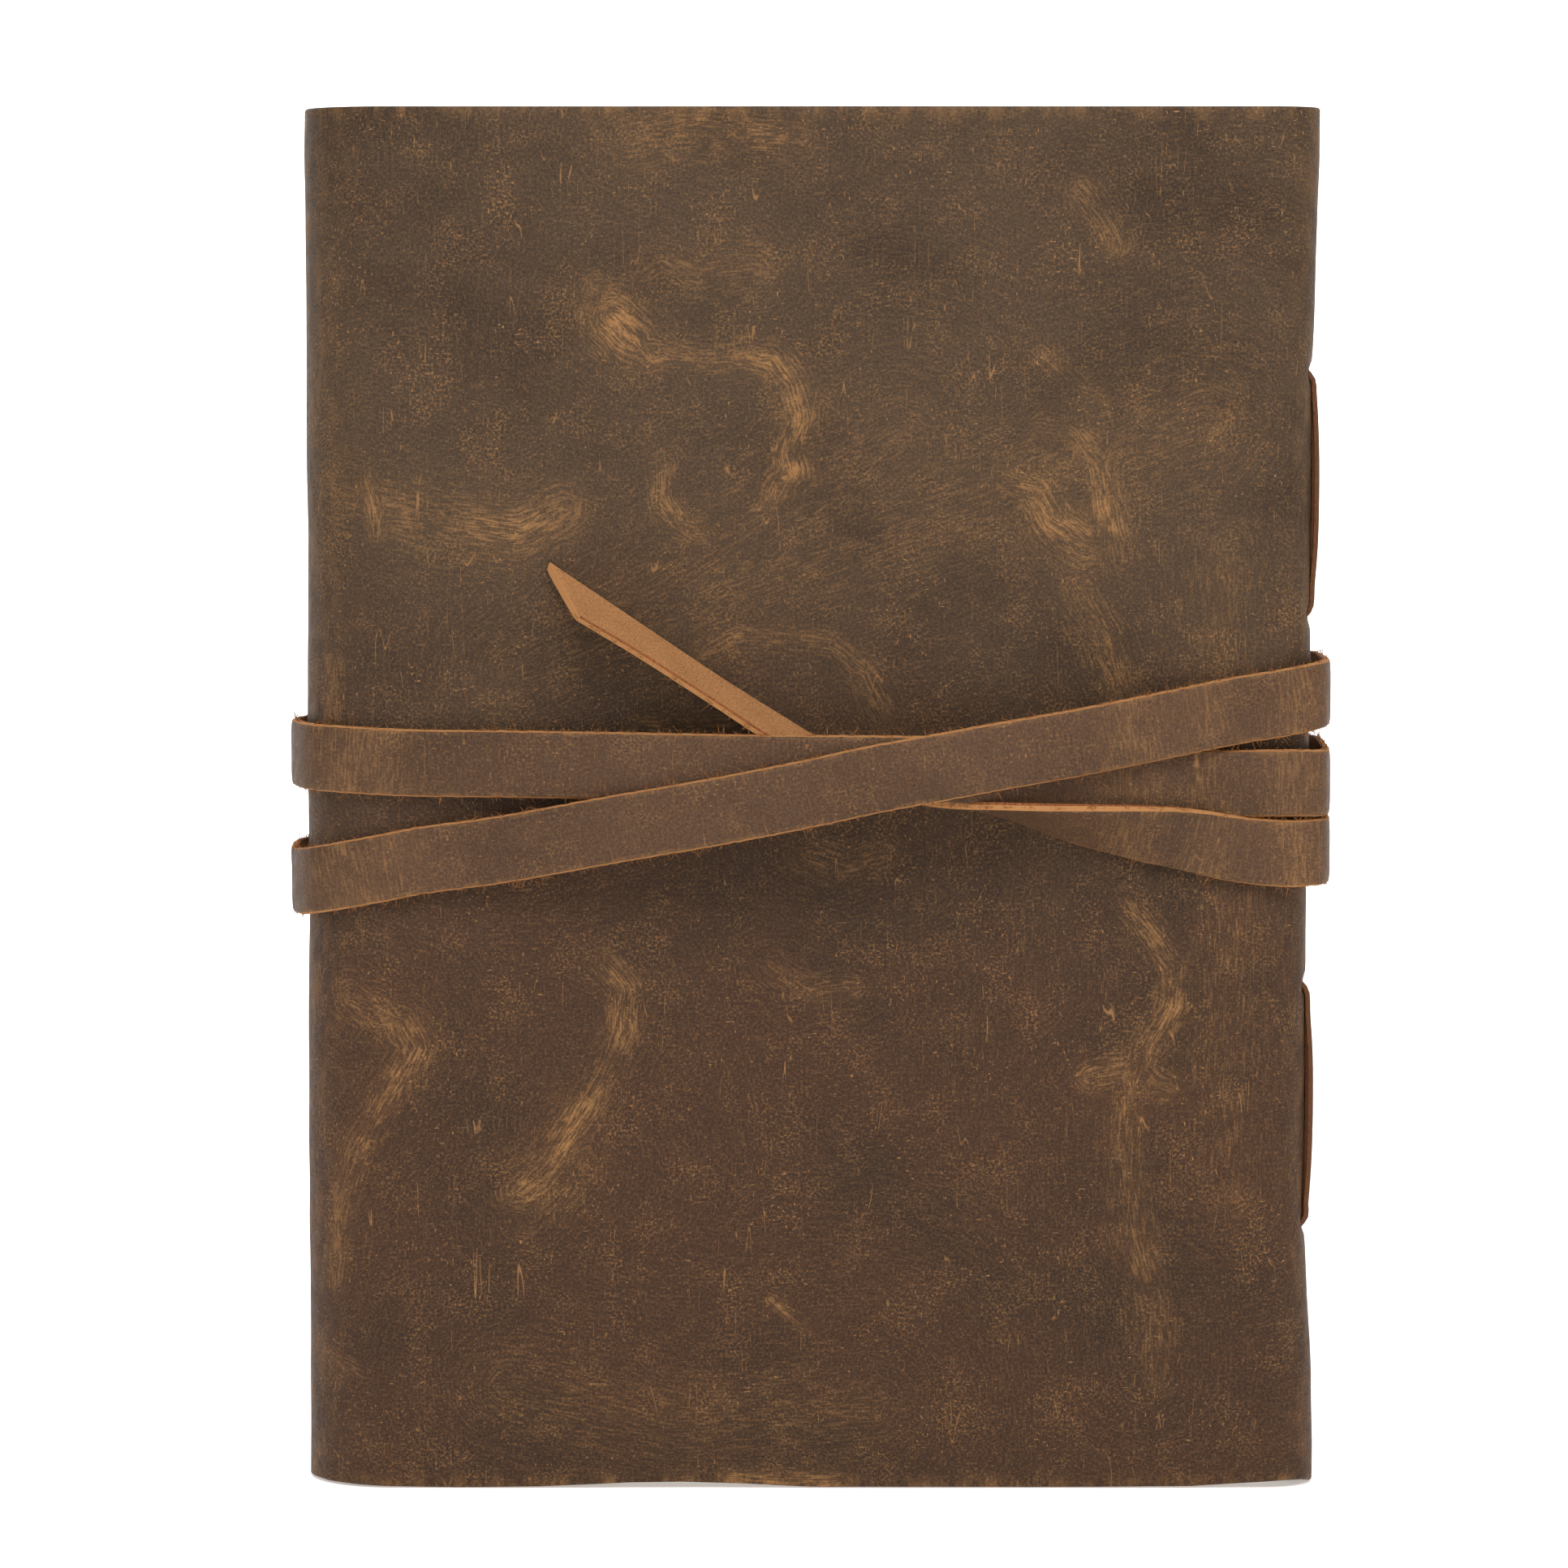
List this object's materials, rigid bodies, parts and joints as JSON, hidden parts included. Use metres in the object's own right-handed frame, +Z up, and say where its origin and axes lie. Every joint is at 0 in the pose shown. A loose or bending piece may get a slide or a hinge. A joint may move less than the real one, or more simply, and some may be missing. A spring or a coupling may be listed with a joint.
{
  "type": "leather notebook cover",
  "caption": "Wrap-round leather notebook cover with a fore-edge flap, laced spine, sewn page signatures and a long strap wound round it.",
  "frame": {"origin": "middle of the underside of the closed, standing cover with its strap, at the height of the hide's bottom cut edge", "axes": "+X towards the laced spine, +Y from the back cover to the front cover, +Z up along the spine"},
  "size_m": [0.1642, 0.0484, 0.216],
  "materials": {
    "hide": "oiled, worn, satin",
    "strap_leather": "oiled, raw cut edges",
    "lace_leather": "oiled, raw cut edges",
    "thread": "waxed",
    "pages": "matt, uncoated"
  },
  "bodies": {
    "book": {"back_cover": "hide", "spine_panel": "hide", "signature_1": "pages", "signature_2": "pages", "signature_3": "pages", "signature_4": "pages", "signature_5": "pages", "signature_6": "pages", "lace_1": "lace_leather", "lace_2": "lace_leather", "lace_3": "lace_leather", "lace_4": "lace_leather", "lace_5": "lace_leather", "lace_6": "lace_leather"},
    "front": {"front_cover": "hide"},
    "turn": {"fore_edge_turn": "hide"},
    "flap_body": {"flap": "hide", "wrap_strap": "strap_leather", "anchor_stitch_lower": "thread", "anchor_stitch_upper": "thread"}
  },
  "joints": [
    {"name": "front_cover_hinge", "type": "hinge", "parent": "book", "child": "front", "pos_m": [0.07823, 0.01873, 0.108], "axis": [0, 0, -1], "range_deg": [0, 178]},
    {"name": "fore_edge_hinge", "type": "hinge", "parent": "book", "child": "turn", "pos_m": [-0.07592, -0.00502, 0.108], "axis": [0, 0, 1], "range_deg": [0, 89], "deforming": ["fore_edge_turn"]},
    {"name": "flap_hinge", "type": "hinge", "parent": "turn", "child": "flap_body", "pos_m": [-0.07592, 0.01788, 0.108], "axis": [0, 0, 1], "range_deg": [0, 89], "deforming": ["flap", "wrap_strap", "anchor_stitch_lower", "anchor_stitch_upper"]}
  ],
  "couplings": [
    {"joint": "fore_edge_hinge", "follows": "front_cover_hinge", "ratio": 0.5},
    {"joint": "flap_hinge", "follows": "front_cover_hinge", "ratio": 0.5}
  ]
}
